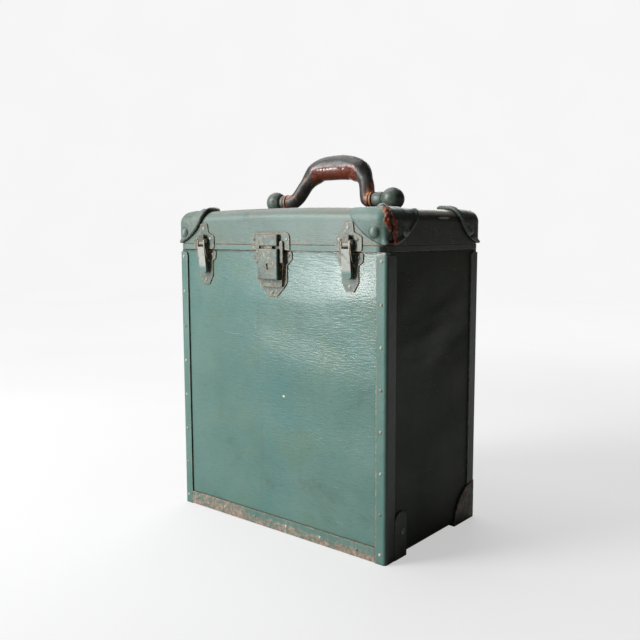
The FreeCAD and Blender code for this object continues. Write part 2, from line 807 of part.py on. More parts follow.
def arch_body(thin, thick):
    steps = [k / stub_stations - 1 for k in range(stub_stations)]
    steps += [k / grip_stations for k in range(grip_stations + 1)]
    rings = []
    for t in steps:
        place, heading = arch(t)
        rings.append(ring(thin + (thick - thin) * swell(t), place, heading))
    for t in reversed(steps[:-1]):
        place, heading = arch(t)
        mirrored = V(-place.x, 0, place.z)
        rings.append(ring(thin + (thick - thin) * swell(t), mirrored, V(heading.x, 0, -heading.z)))
    return Part.makeLoft(rings, True, False)


def hang(shape):
    # from the handle's own plane to its resting lean on the lid
    shape.translate(V(0, pivot_y, swing_z))
    shape.rotate(V(0, pivot_y, swing_z), V(1, 0, 0), -handle_lean)
    return shape


sockets = []
for side, sx in SIDES:
    mouth = V(sx * (post_neck_end + past), 0, 0)
    sockets.append(rod(post_pin + running_fit, mouth, V(sx * (post_pin_end - past), 0, 0)))
core = arch_body(core_radius, core_radius)
grip = arch_body(grip_leg, grip_thick).cut(core)
for socket in sockets:
    core = core.cut(socket)
save("handle_core", hang(one_solid(core)))
save("handle_grip", hang(one_solid(grip)))
washers = []
for socket, (side, sx) in zip(sockets, SIDES):
    near = V(sx * grip_end, 0, 0)
    far = V(sx * (post_neck_end - washer_gap), 0, 0)
    washers.append(hang(one_solid(rod(washer_radius, near, far).cut(socket))))
save("handle_washers", washers)
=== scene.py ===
import math
import bmesh
import bpy
from mathutils import Euler, Matrix, Vector, noise


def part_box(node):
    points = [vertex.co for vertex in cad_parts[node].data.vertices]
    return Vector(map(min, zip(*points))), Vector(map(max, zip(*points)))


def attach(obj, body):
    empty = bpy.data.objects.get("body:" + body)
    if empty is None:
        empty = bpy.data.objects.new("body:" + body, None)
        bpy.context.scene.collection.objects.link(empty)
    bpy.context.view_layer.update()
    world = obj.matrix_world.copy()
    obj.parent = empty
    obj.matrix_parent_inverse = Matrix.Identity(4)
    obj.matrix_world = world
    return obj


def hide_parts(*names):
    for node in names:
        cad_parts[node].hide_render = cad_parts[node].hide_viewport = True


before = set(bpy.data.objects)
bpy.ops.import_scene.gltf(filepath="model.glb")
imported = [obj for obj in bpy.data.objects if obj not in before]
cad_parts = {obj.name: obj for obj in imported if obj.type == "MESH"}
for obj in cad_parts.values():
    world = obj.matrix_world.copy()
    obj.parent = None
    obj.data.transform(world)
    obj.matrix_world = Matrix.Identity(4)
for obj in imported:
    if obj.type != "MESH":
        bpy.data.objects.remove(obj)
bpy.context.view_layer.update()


# Boards of the body: thin wood faced with a grained cloth and painted green, glued and nailed at the edges.
# The paint has sheen, fine cross wrinkles, slow waves, old scuffs, and grime mixed with painted shade along
# the bindings.
class Finish:
    # one procedural finish, put together from layers of colour, wear, roughness and relief
    def __init__(self, name):
        self.material = bpy.data.materials.new(name)
        self.material.use_nodes = True
        self.tree = self.material.node_tree
        self.tree.nodes.clear()
        self.seat = self.put("TexCoord")
        self.place = self.seat.outputs["Object"]
        self.relief = None

    def put(self, kind, settings=None, **sockets):
        made = self.tree.nodes.new("ShaderNode" + kind)
        for name, value in (settings or {}).items():
            setattr(made, name, value)
        for name, value in sockets.items():
            self.feed(made.inputs[name.replace("_", " ")], value)
        return made

    def feed(self, socket, value):
        if isinstance(value, bpy.types.NodeSocket):
            self.tree.links.new(value, socket)
        elif socket.type == "RGBA":
            socket.default_value = (*value, 1)
        else:
            socket.default_value = value

    def spread(self, stretch=(1, 1, 1), turn=(0, 0, 0), shift=(0, 0, 0)):
        moved = self.put("Mapping", Vector=self.place, Location=shift, Rotation=turn, Scale=stretch)
        return moved.outputs[0]

    def cloud(self, scale, detail=3.0, rough=0.5, twist=0.0, **spread):
        where = self.spread(**spread)
        made = self.put("TexNoise", Vector=where, Scale=scale, Detail=detail, Roughness=rough,
                        Distortion=twist)
        return made.outputs[0]

    def cells(self, scale, feature="F1", **spread):
        where = self.spread(**spread)
        return self.put("TexVoronoi", {"feature": feature}, Vector=where, Scale=scale).outputs["Distance"]

    def along(self, axis):
        return self.put("SeparateXYZ", Vector=self.place).outputs[axis]

    def reckon(self, kind, first, second=0.0):
        made = self.put("Math", {"operation": kind})
        self.feed(made.inputs[0], first)
        self.feed(made.inputs[1], second)
        return made.outputs[0]

    def times(self, first, second):
        return self.reckon("MULTIPLY", first, second)

    def most(self, first, second):
        return self.reckon("MAXIMUM", first, second)

    def rise(self, value, low, high):
        made = self.put("MapRange", {"interpolation_type": "SMOOTHSTEP"}, Value=value)
        self.feed(made.inputs["From Min"], low)
        self.feed(made.inputs["From Max"], high)
        return made.outputs[0]

    def span(self, value, low, high):
        return self.put("MapRange", Value=value, To_Min=low, To_Max=high).outputs[0]

    def over(self, under, top, share):
        made = self.put("MixRGB", Fac=share)
        self.feed(made.inputs["Color1"], under)
        self.feed(made.inputs["Color2"], top)
        return made.outputs[0]

    def shades(self, value, *stops):
        made = self.put("ValToRGB", Fac=value)
        ramp = made.color_ramp
        while len(ramp.elements) < len(stops):
            ramp.elements.new(0.5)
        for element, (place, colour) in zip(ramp.elements, stops):
            element.position = place
            element.color = (*colour, 1)
        return made.outputs[0]

    def worn_edge(self, reach, start=0.985, full=0.86):
        soft = self.put("Bevel", {"samples": 6}, Radius=reach).outputs[0]
        turn = self.put("VectorMath", {"operation": "DOT_PRODUCT"})
        self.feed(turn.inputs[0], soft)
        self.feed(turn.inputs[1], self.put("NewGeometry").outputs["Normal"])
        return self.rise(turn.outputs["Value"], start, full)

    def crease(self, reach, start=0.92, full=0.45):
        # how shut in a point is among nearby surfaces, 0 in the open and 1 deep in a crease; the finishes use
        # it to paint shade into creases and gaps, mixed with grime in places
        shut = self.put("AmbientOcclusion", {"samples": 6}, Distance=reach).outputs["AO"]
        return self.rise(shut, start, full)

    def facing(self, axis, low, high):
        # how far the bare surface looks along an axis of the case, either way
        parts = self.put("SeparateXYZ", Vector=self.seat.outputs["Normal"])
        return self.rise(self.reckon("ABSOLUTE", parts.outputs[axis]), low, high)

    def kept(self, name):
        # a share that was worked out with the piece's own mesh
        return self.put("Attribute", {"attribute_name": name}).outputs["Fac"]

    def near(self, centre, size, ragged=0.35):
        # a patch at a given place, used for wear and for spots of painted shadow: 1 at its middle, fading out
        # raggedly
        stretch = tuple(1 / s for s in size)
        shift = tuple(-c / s for c, s in zip(centre, size))
        away = self.put("VectorMath", {"operation": "LENGTH"})
        self.feed(away.inputs[0], self.spread(stretch, shift=shift))
        rag = self.span(self.cloud(160.0, 4.0, 0.6), -ragged, ragged)
        return self.rise(self.reckon("ADD", away.outputs["Value"], rag), 1.0, 0.75)

    def emboss(self, height, deep, strength=1.0):
        made = self.put("Bump", Height=height, Distance=deep, Strength=strength)
        if self.relief:
            self.feed(made.inputs["Normal"], self.relief)
        self.relief = made.outputs[0]

    def round_edges(self, reach):
        self.relief = self.put("Bevel", {"samples": 4}, Radius=reach).outputs[0]

    def done(self, colour, rough, shine=0.5, metal=0.0):
        skin = self.put("BsdfPrincipled", Base_Color=colour, Roughness=rough, Metallic=metal)
        skin.inputs["Specular IOR Level"].default_value = shine
        if self.relief:
            self.feed(skin.inputs["Normal"], self.relief)
        self.put("OutputMaterial", Surface=skin.outputs[0])
        return self.material


def dress(material, *names):
    for name in names:
        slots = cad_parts[name].data.materials
        slots.clear()
        slots.append(material)


def painted_cover(name, tones, dirt_and_shade, soiled, dents, gloss):
    chipped_brown = (0.3, 0.2, 0.12)
    gap_shade = (0.02, 0.018, 0.013)
    bare_cloth = (0.34, 0.26, 0.17)
    deep, mid, pale = tones
    cool = (0.74 * mid[0], 0.98 * mid[1], 1.1 * mid[2])
    warm = (1.16 * mid[0], 0.97 * mid[1], 0.8 * mid[2])
    scratched = tuple(1.7 * s for s in pale)
    f = Finish(name)
    wrinkle = f.cloud(1.0, 2.0, 0.5, 0.35, stretch=(125, 125, 780))
    pebble = f.cells(620.0, "SMOOTH_F1")
    drift = f.cloud(7.0, 4.0, 0.6)
    blotch = f.cloud(38.0, 5.0, 0.65, 0.4)
    colour = f.shades(drift, (0.3, deep), (0.5, mid), (0.72, pale))
    colour = f.over(colour, mid, f.times(f.rise(blotch, 0.45, 0.7), 0.6))
    cooled = f.rise(f.cloud(9.0, 3.0, 0.6, shift=(7, 7, 2)), 0.5, 0.68)
    colour = f.over(colour, cool, f.times(cooled, 0.6))
    yellowed = f.rise(f.cloud(12.0, 3.0, 0.6, shift=(1, 9, 5)), 0.5, 0.66)
    colour = f.over(colour, warm, f.times(yellowed, 0.6))
    colour = f.over(colour, dirt_and_shade, f.times(f.rise(wrinkle, 0.46, 0.28), 0.16))
    stain = f.rise(f.cloud(11.0, 6.0, 0.7, 1.2, shift=(3, 1, 2)), 0.54, 0.74)
    colour = f.over(colour, dirt_and_shade, f.times(stain, soiled))
    streak = f.rise(f.cloud(1.0, 3.0, 0.6, 0.2, stretch=(70, 70, 5), shift=(1, 7, 3)), 0.56, 0.76)
    colour = f.over(colour, dirt_and_shade, f.times(streak, 0.3 * soiled))
    scratch = f.rise(f.cloud(1.0, 2.0, 0.5, 0.3, stretch=(26, 26, 900), turn=(0.0, 0.5, 0.3)), 0.7, 0.76)
    scratch = f.times(scratch, f.rise(f.cloud(16.0, shift=(5, 5, 5)), 0.55, 0.62))
    colour = f.over(colour, scratched, f.times(scratch, 0.5))
    speck = f.rise(f.cells(105.0, shift=(2, 4, 1)), 0.12, 0.06)
    speck = f.times(speck, f.rise(f.cloud(34.0, 3.0, 0.6, shift=(9, 2, 7)), 0.52, 0.58))
    colour = f.over(colour, chipped_brown, f.times(speck, 0.8))
    # grime and painted shade: the dirt colour laid patchily into the creases along the bindings and fittings
    grime_and_shade = f.times(f.crease(0.006), f.span(blotch, 0.3, 1.0))
    colour = f.over(colour, dirt_and_shade, f.times(grime_and_shade, 0.7))
    # painted shade: a near-black line in the narrow gaps at the feet of the bindings and fittings
    colour = f.over(colour, gap_shade, f.times(f.crease(0.0026, 0.92, 0.5), 0.9))
    edge = f.times(f.worn_edge(0.0016), f.rise(f.cloud(130.0, 4.0, 0.7), 0.4, 0.62))
    colour = f.over(colour, bare_cloth, edge)
    f.round_edges(0.0008)
    f.emboss(f.cloud(1.0, 2.0, 0.4, 0.3, stretch=(5, 5, 11), shift=(1, 3, 2.3)), dents)
    f.emboss(wrinkle, 0.0002, 0.85)
    f.emboss(pebble, 0.00006, 0.3)
    return f, colour, f.span(f.cloud(24.0, 5.0, 0.65, shift=(4, 4, 1)), *gloss)


# a dirt colour, laid also into creases as painted shade
old_soil_and_shade = (0.055, 0.06, 0.042)
front_tones = (0.08, 0.2, 0.17), (0.116, 0.245, 0.21), (0.163, 0.285, 0.247)
# dark tones for the end boards, the bottom and the faces that look towards the ends: partly dark dirty paint,
# partly painted shade
shaded_side_tones = (0.034, 0.042, 0.032), (0.05, 0.06, 0.046), (0.078, 0.088, 0.07)
# a dark dirt colour, also laid on faces towards the ends as painted shade
side_soil_and_shade = (0.026, 0.024, 0.018)
f, colour, rough = painted_cover("front_cover", front_tones, old_soil_and_shade, 0.42, 0.003, (0.2, 0.31))
wave_middle = 0.232
wave_long = 0.08
wave_deep = 0.00046
phase = f.times(f.reckon("SUBTRACT", f.along("Z"), wave_middle), 2 * math.pi / wave_long)
wave = f.reckon("SINE", f.reckon("ADD", phase, f.span(f.cloud(6.0, 2.0), -1.3, 1.3)))
f.emboss(f.times(wave, f.span(f.rise(f.along("X"), -0.1, 0.07), 0.25, 1.0)), wave_deep)
chip_white = (0.85, 0.85, 0.8)
chip_patch = (0.0134, -0.087, 0.1484), (0.0019, 0.02, 0.0014)
colour = f.over(colour, chip_white, f.near(*chip_patch))
dress(f.done(colour, rough), "front_board", "back_board", "hinge_rail")
# the end boards and the bottom: a dark copy of the covering, dirty paint and painted shade together
f, colour, rough = painted_cover("side_cover", shaded_side_tones, side_soil_and_shade, 0.5, 0.014, (0.42, 0.58))
dress(f.done(colour, rough, 0.14), "left_board", "right_board", "bottom_board")


# Inside of the body: softwood battens in the corners and a raised lip round the mouth, glued and pinned.
# The walls and floor are lined with plain paper that has yellowed.
def bare_wood(name, stretch, mouth=None):
    light_wood = (0.3, (0.33, 0.2, 0.1)), (0.52, (0.47, 0.32, 0.18)), (0.7, (0.56, 0.41, 0.25))
    dark_fibre = (0.25, 0.15, 0.08)
    corner_shade = (0.14, 0.09, 0.05)
    f = Finish(name)
    grain = f.cloud(1.0, 4.0, 0.6, 1.6, stretch=stretch)
    fibre = f.cloud(3.0, 3.0, 0.6, stretch=tuple(4 * s for s in stretch))
    if mouth:
        # the strips at the two ends of the mouth have their grain the other way
        joint = 0.0002
        across = (stretch[1], stretch[0], stretch[2])
        end = f.rise(f.reckon("ABSOLUTE", f.along("X")), mouth[0] - joint, mouth[0])
        end = f.times(end, f.rise(f.reckon("ABSOLUTE", f.along("Y")), mouth[1] + joint, mouth[1]))
        grain = f.over(grain, f.cloud(1.0, 4.0, 0.6, 1.6, stretch=across), end)
        fibre = f.over(fibre, f.cloud(3.0, 3.0, 0.6, stretch=tuple(4 * s for s in across)), end)
    colour = f.shades(grain, *light_wood)
    colour = f.over(colour, dark_fibre, f.times(f.rise(fibre, 0.6, 0.75), 0.6))
    # painted shade darkening the inner corners
    colour = f.over(colour, corner_shade, f.times(f.crease(0.012), 0.6))
    f.round_edges(0.0006)
    f.emboss(fibre, 0.00025, 0.7)
    return f.done(colour, f.span(grain, 0.6, 0.8), 0.3)


def old_paper(name):
    yellowed = (0.3, (0.5, 0.41, 0.27)), (0.65, (0.64, 0.56, 0.41))
    pulp_brown = (0.4, 0.31, 0.2)
    fox_brown = (0.3, 0.18, 0.08)
    corner_shade_brown = (0.2, 0.15, 0.09)
    f = Finish(name)
    pulp = f.cloud(420.0, 4.0, 0.7)
    foxing = f.times(f.rise(f.cells(45.0), 0.2, 0.05), f.rise(f.cloud(14.0, 4.0, 0.6), 0.52, 0.66))
    colour = f.shades(f.cloud(9.0, 5.0, 0.65), *yellowed)
    colour = f.over(colour, pulp_brown, f.times(f.rise(pulp, 0.55, 0.75), 0.35))
    colour = f.over(colour, fox_brown, f.times(foxing, 0.7))
    # painted shade: brown darkening in the corners of the lining
    colour = f.over(colour, corner_shade_brown, f.times(f.crease(0.02), 0.55))
    f.emboss(f.cloud(24.0, 3.0, 0.5), 0.0016, 0.6)
    f.emboss(pulp, 0.0001, 0.6)
    return f.done(colour, f.span(pulp, 0.75, 0.95), 0.2)


dress(bare_wood("batten_wood", (160, 160, 9)), "corner_battens")
lip_thick = 0.003
lip_mouth = tuple(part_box("mouth_lip")[1][axis] - lip_thick for axis in (0, 1))
dress(bare_wood("lip_wood", (9, 160, 160), lip_mouth), "mouth_lip")
dress(old_paper("lining_paper"), "body_lining", "lid_lining")


# Bindings: pressed fibre strips bent over the edges of front and back and nailed down every 40 mm.
# Painted with the case; the paint has rubbed through to tan fibre along the edges, most of all at the bottom.
def painted_fibre(name, bare, bare_from, bare_to, pale, shut=()):
    dusty_green = (0.27, 0.32, 0.28)
    tan_fibre = (0.35, (0.2, 0.1, 0.065)), (0.5, (0.38, 0.26, 0.19)), (0.65, (0.52, 0.42, 0.33))
    gap_shadow_black = (0.008, 0.006, 0.005)
    deep, mid, light = front_tones
    f = Finish(name)
    brushed = f.cloud(1.0, 3.0, 0.6, 0.4, stretch=(420, 420, 24))
    blotch = f.cloud(46.0, 5.0, 0.68, 0.5)
    fine = f.cloud(260.0, 5.0, 0.72)
    on_side = f.facing("X", 0.55, 0.9)
    colour = f.shades(f.cloud(12.0, 4.0, 0.6), (0.3, deep), (0.55, mid), (0.75, light))
    colour = f.over(colour, old_soil_and_shade, f.times(f.rise(blotch, 0.55, 0.75), 0.35))
    colour = f.over(colour, dusty_green, f.times(f.rise(brushed, 0.5, 0.75), pale))
    # faces towards the ends darkened: painted shade with dark dirty paint; less worn edge shows there
    colour = f.over(colour, shaded_side_tones[0], f.times(on_side, 0.94))
    # grime and painted shade: the dirt colour laid patchily into the creases beside the strips
    grime_and_shade = f.times(f.crease(0.004), f.span(blotch, 0.4, 1.0))
    colour = f.over(colour, old_soil_and_shade, f.times(grime_and_shade, 0.75))
    tan = f.shades(fine, *tan_fibre)
    edge = f.times(f.worn_edge(0.0017, 0.99, 0.88), f.rise(f.most(fine, blotch), bare_from, bare_to))
    colour = f.over(colour, tan, f.times(edge, f.span(on_side, 1.0, 0.35)))
    for centre, size, strength in bare:
        patch = f.times(f.near(centre, size), f.rise(fine, 0.36, 0.56))
        colour = f.over(colour, tan, f.times(patch, strength))
    # painted shadow: near-black patches where a gap lies in shade
    for centre, size in shut:
        colour = f.over(colour, gap_shadow_black, f.near(centre, size))
    f.round_edges(0.0006)
    f.emboss(blotch, 0.0009, 0.5)
    f.emboss(fine, 0.00016, 0.6)
    return f.done(colour, f.span(blotch, 0.3, 0.5))


# worn patches: middle, half sizes and strength
upright_bare = [((0.1325, -0.087, 0.06), (0.0016, 0.01, 0.2), 0.45),
                ((-0.142, -0.087, 0.293), (0.004, 0.01, 0.008), 0.6)]
low_bare = [((-0.1, -0.087, 0.006), (0.07, 0.02, 0.014), 0.75),
            ((0.1, -0.087, 0.0), (0.05, 0.02, 0.008), 0.9),
            ((0.0, -0.087, 0.0), (0.3, 0.02, 0.011), 0.85)]
upright_fibre = painted_fibre("upright_fibre", upright_bare, 0.44, 0.6, 0.12)
dress(upright_fibre, "front_left_binding", "front_right_binding", "back_left_binding", "back_right_binding")
low_fibre = painted_fibre("low_fibre", low_bare, 0.32, 0.5, 0.8)
dress(low_fibre, "front_bottom_binding", "back_bottom_binding")


# Nails: round-headed steel nails driven through the bindings and painted over with them.
# Their crowns are rubbed to bright or rusted metal; the small rivets of the fittings look the same.
def painted_stud(name, bare_share):
    stud_green = (0.35, (0.13, 0.22, 0.19)), (0.65, (0.22, 0.3, 0.265))
    bare_metal = (0.4, (0.3, 0.14, 0.07)), (0.46, (0.5, 0.46, 0.38)), (0.6, (0.62, 0.62, 0.57))
    foot_shade = (0.03, 0.025, 0.018)
    f = Finish(name)
    blotch = f.cloud(190.0, 4.0, 0.7)
    each = f.cloud(23.0, 1.0, 0.4, shift=(3, 3, 3))
    colour = f.shades(f.cloud(90.0), *stud_green)
    crown = f.times(f.rise(blotch, bare_share, bare_share + 0.12), f.rise(each, 0.36, 0.5))
    colour = f.over(colour, f.shades(each, *bare_metal), crown)
    # faces towards the ends darkened: painted shade with dark paint
    colour = f.over(colour, shaded_side_tones[1], f.times(f.facing("X", 0.7, 0.95), 0.7))
    # painted shade round the foot of each head
    colour = f.over(colour, foot_shade, f.times(f.crease(0.0012, 0.8, 0.35), 0.85))
    f.emboss(blotch, 0.0003, 0.5)
    return f.done(colour, f.span(blotch, 0.28, 0.46))


dress(painted_stud("nail_finish", 0.36), "front_nails", "back_nails", "body_rivets", "lid_rivets")


# Leather at the bottom corners: tongues beside the front bindings and moulded heels at the back, riveted on.
# Kicked and rubbed; the paint is cracked and the heels are worn to brown hide.
leather_tones = (0.12, 0.18, 0.152), (0.18, 0.238, 0.205), (0.25, 0.29, 0.25)


def painted_leather(name, brown, crack_scale, rub=1.0, tones=leather_tones):
    brown_hide = (0.3, (0.075, 0.026, 0.014)), (0.52, (0.21, 0.075, 0.035)), (0.7, (0.36, 0.16, 0.08))
    crack_brown = (0.06, 0.035, 0.022)
    gap_shade = (0.03, 0.025, 0.018)
    deep, mid, light = tones
    f = Finish(name)
    creases = f.cells(crack_scale, "DISTANCE_TO_EDGE")
    pores = f.cloud(700.0, 3.0, 0.6)
    blotch = f.cloud(55.0, 5.0, 0.7, 0.6)
    fine = f.cloud(240.0, 5.0, 0.7)
    broken = f.most(fine, blotch)
    colour = f.shades(f.cloud(18.0, 4.0, 0.6), (0.3, deep), (0.5, mid), (0.72, light))
    colour = f.over(colour, old_soil_and_shade, f.times(f.rise(blotch, 0.52, 0.7), 0.45))
    crack = f.times(f.rise(creases, 0.05, 0.0), f.rise(blotch, 0.45, 0.6))
    colour = f.over(colour, crack_brown, f.times(crack, 0.8))
    rubbed = f.times(f.worn_edge(0.0022, 0.99, 0.86), f.times(f.rise(broken, 0.44, 0.58), rub))
    bare = f.most(rubbed, f.rise(broken, brown, brown + 0.08))
    colour = f.over(colour, f.shades(fine, *brown_hide), bare)
    # painted shade in the creases and gaps round the leather
    colour = f.over(colour, gap_shade, f.times(f.crease(0.003), 0.8))
    f.round_edges(0.0007)
    f.emboss(blotch, 0.0014, 0.5)
    f.emboss(creases, 0.0004, 0.3)
    f.emboss(pores, 0.00012, 0.5)
    return f, colour, f.span(blotch, 0.34, 0.54)


f, colour, rough = painted_leather("tongue_leather", 0.66, 260.0)
# faces towards the ends darkened: painted shade with dark paint
colour = f.over(colour, shaded_side_tones[1], f.times(f.facing("X", 0.55, 0.9), 0.8))
dress(f.done(colour, rough, 0.35), "front_left_protector", "front_right_protector")
f, colour, rough = painted_leather("heel_leather", 0.5, 220.0)
colour = f.over(colour, side_soil_and_shade, f.times(f.rise(f.cloud(60.0, 4.0, 0.6), 0.42, 0.6), 0.6))
dress(f.done(colour, rough, 0.35), "back_left_protector", "back_right_protector")
dress(painted_stud("protector_stud", 0.4), "protector_rivets")


# Fittings of stamped sheet steel: hinges, latches and the lock, riveted or pinned on and painted over.
# Edges, lips and the lever faces are rubbed to pale paint, brass-coloured metal and a little rust; the lever
# faces also carry a painted highlight.
def painted_metal(name, pale_share, bare_share, soil_share, gold_share=0.85):
    grey_green = (0.3, (0.08, 0.12, 0.1)), (0.52, (0.12, 0.175, 0.147)), (0.72, (0.18, 0.24, 0.205))
    pale_paint = (0.33, 0.38, 0.33)
    rust_soil = (0.075, 0.052, 0.03)
    gold_metal = (0.62, 0.44, 0.2)
    side_shade_and_grime = (0.03, 0.036, 0.03)
    gap_shade = (0.014, 0.012, 0.009)
    bare_metal = (0.38, (0.16, 0.08, 0.035)), (0.5, (0.46, 0.31, 0.17)), (0.64, (0.72, 0.6, 0.42))
    f = Finish(name)
    blotch = f.cloud(95.0, 5.0, 0.7, 0.4)
    fine = f.cloud(420.0, 5.0, 0.7)
    colour = f.shades(f.cloud(40.0, 4.0, 0.6), *grey_green)
    colour = f.over(colour, pale_paint, f.times(f.rise(blotch, pale_share, pale_share + 0.2), 0.65))
    soiled = f.rise(f.cloud(170.0, 5.0, 0.7, 0.6), 0.5, 0.64)
    colour = f.over(colour, rust_soil, f.times(soiled, soil_share))
    gold = f.rise(f.cloud(330.0, 3.0, 0.6), 0.58, 0.63)
    gold = f.times(gold, f.rise(f.cloud(60.0, 3.0, 0.5, shift=(6, 1, 2)), 0.4, 0.52))
    colour = f.over(colour, gold_metal, f.times(gold, gold_share))
    # faces towards the ends darkened: painted shade with grime
    colour = f.over(colour, side_shade_and_grime, f.times(f.facing("X", 0.6, 0.9), 0.8))
    # painted shade: near-black in the gaps and channels of the fittings
    colour = f.over(colour, gap_shade, f.times(f.crease(0.0045, 0.9, 0.4), 0.95))
    broken = f.rise(f.most(fine, blotch), bare_share, bare_share + 0.14)
    edge = f.times(f.worn_edge(0.0016, 0.994, 0.88), broken)
    colour = f.over(colour, f.shades(fine, *bare_metal), edge)
    f.round_edges(0.00035)
    f.emboss(blotch, 0.0005, 0.5)
    f.emboss(fine, 0.0001, 0.5)
    return f, colour, f.span(blotch, 0.28, 0.46)


f, colour, rough = painted_metal("fitting_paint", 0.52, 0.3, 0.5, 0.4)
dress(f.done(colour, rough), "left_hinge_body_leaf", "right_hinge_body_leaf", "left_hinge_lid_leaf",
      "right_hinge_lid_leaf", "left_latch_base", "right_latch_base", "left_keeper", "right_keeper")
f, colour, rough = painted_metal("lock_paint", 0.5, 0.3, 0.62, 0.65)
dress(f.done(colour, rough), "lock_plate", "lock_case", "lock_strike")

lever_pale_and_highlight = (0.56, 0.58, 0.54)
toe_from = 0.284
toe_full = 0.279
f, colour, rough = painted_metal("lever_paint", 0.3, 0.36, 0.25)
# the lever's flat faces whitened: rubbed pale paint with a painted highlight
whitened_and_lit = f.times(f.facing("Y", 0.75, 0.95), f.rise(f.cloud(140.0, 4.0, 0.6), 0.3, 0.5))
colour = f.over(colour, lever_pale_and_highlight, f.times(whitened_and_lit, 0.85))
colour = f.over(colour, front_tones[1], f.times(f.rise(f.along("Z"), toe_from, toe_full), 0.9))
dress(f.done(colour, rough), "left_lever", "right_lever")

hook_dark = (0.035, 0.03, 0.022)
hook_tan = (0.46, 0.34, 0.22)
hook_gap_shadow = (0.008, 0.007, 0.005)
hook_edge = (0.5, 0.36, 0.22)
tan_from = 0.3088
tan_full = 0.3078
hook_shadow_from = 0.3066
hook_shadow_full = 0.306
f, colour, rough = painted_metal("hook_paint", 0.7, 0.36, 0.7)
colour = f.over(colour, hook_dark, f.span(f.cloud(210.0, 4.0, 0.6), 0.25, 0.6))
colour = f.over(colour, hook_tan, f.times(f.rise(f.along("Z"), tan_from, tan_full), 0.9))
# painted shadow: the hook's lowest part near-black, where it lies in the dark gap above the lever
colour = f.over(colour, hook_gap_shadow, f.rise(f.along("Z"), hook_shadow_from, hook_shadow_full))
tan_edge = f.times(f.worn_edge(0.0008, 0.988, 0.86), f.rise(f.cloud(300.0, 4.0, 0.6), 0.4, 0.55))
colour = f.over(colour, hook_edge, tan_edge)
dress(f.done(colour, rough), "left_hook", "right_hook")


# Pins of the hinges and hooks, studs of the levers and the lock's bolt: turned and cut from plain steel.
# Unpainted, greyed and lightly rusted.
def dull_steel(name):
    grey = (0.35, (0.3, 0.29, 0.27)), (0.65, (0.5, 0.49, 0.46))
    rust = (0.24, 0.11, 0.05)
    f = Finish(name)
    fine = f.cloud(380.0, 5.0, 0.7)
    colour = f.shades(f.cloud(120.0, 4.0, 0.65), *grey)
    colour = f.over(colour, rust, f.times(f.rise(fine, 0.56, 0.68), 0.7))
    f.emboss(fine, 0.0001, 0.6)
    return f.done(colour, f.span(fine, 0.3, 0.6), metal=0.8)


dress(dull_steel("dull_steel"), "left_hinge_pin", "right_hinge_pin", "left_latch_studs", "right_latch_studs",
      "left_hook_pin", "right_hook_pin", "lock_bolt")


# Lid: a crowned shell of formed board with the same painted covering, and a fibre rim let into its foot.
# Its ends are dark with handling and with painted shade, and its top is rubbed to pale, dusty paint.
lid_tones = (0.115, 0.2, 0.174), (0.16, 0.25, 0.22), (0.205, 0.288, 0.255)
top_dust = (0.19, 0.185, 0.155)
scrub_grey = (0.27, 0.26, 0.215)
shoulder_tan = (0.25, 0.22, 0.175)
foot_tan = (0.4, 0.29, 0.21)
edge_dust_and_light = (0.46, 0.41, 0.33)
scuff_white = (0.75, 0.73, 0.68)
foot_patch = (0.0, -0.089, 0.3095), (0.2, 0.03, 0.0035)
scuff_patch = (0.146, 0.011, 0.3325), (0.02, 0.012, 0.0012)
f, colour, rough = painted_cover("lid_cover", lid_tones, old_soil_and_shade, 0.3, 0.004, (0.3, 0.42))
rubbed = f.times(f.facing("Z", 0.5, 0.95), f.span(f.cloud(60.0, 5.0, 0.7, 0.5), 0.3, 1.0))
colour = f.over(colour, top_dust, f.times(rubbed, 0.85))
# the ends darkened: dirt with painted shade
colour = f.over(colour, side_soil_and_shade, f.times(f.facing("X", 0.5, 0.85), 0.9))
mottle = f.cloud(120.0, 6.0, 0.78, 0.8, shift=(4, 1, 8))
scrubbed = f.times(f.rise(mottle, 0.5, 0.66), f.rise(f.cloud(26.0, 3.0, 0.6, shift=(8, 3, 3)), 0.38, 0.6))
colour = f.over(colour, scrub_grey, f.times(scrubbed, 0.4))
shoulder = f.times(f.facing("Z", 0.25, 0.6), f.rise(mottle, 0.42, 0.6))
colour = f.over(colour, shoulder_tan, f.times(shoulder, 0.55))
foot_wear = f.times(f.near(*foot_patch, 0.6), f.rise(mottle, 0.5, 0.6))
colour = f.over(colour, foot_tan, f.times(foot_wear, 0.55))
# dust and painted light: a pale band on the rounded edges between the top and the ends
dusty_and_lit = f.times(f.facing("Z", 0.35, 0.62), f.facing("X", 0.12, 0.4))
colour = f.over(colour, edge_dust_and_light, f.times(dusty_and_lit, f.span(f.cloud(90.0, 5.0, 0.7), 0.2, 1.0)))
scuff = f.times(f.near(*scuff_patch, 0.6), f.rise(f.cloud(600.0, 3.0, 0.6), 0.34, 0.44))
colour = f.over(colour, scuff_white, f.times(scuff, 0.9))
dress(f.done(colour, rough, 0.4), "lid_shell")
rim_bare = [((0.0, -0.089, 0.306), (0.16, 0.01, 0.0012), 0.5)]
# a patch of painted shadow on the rim's front right corner, below the split cap
rim_shadow = [((0.138, -0.084, 0.302), (0.0055, 0.0055, 0.006))]
dress(painted_fibre("rim_fibre", rim_bare, 0.4, 0.56, 0.12, rim_shadow), "lid_rim")


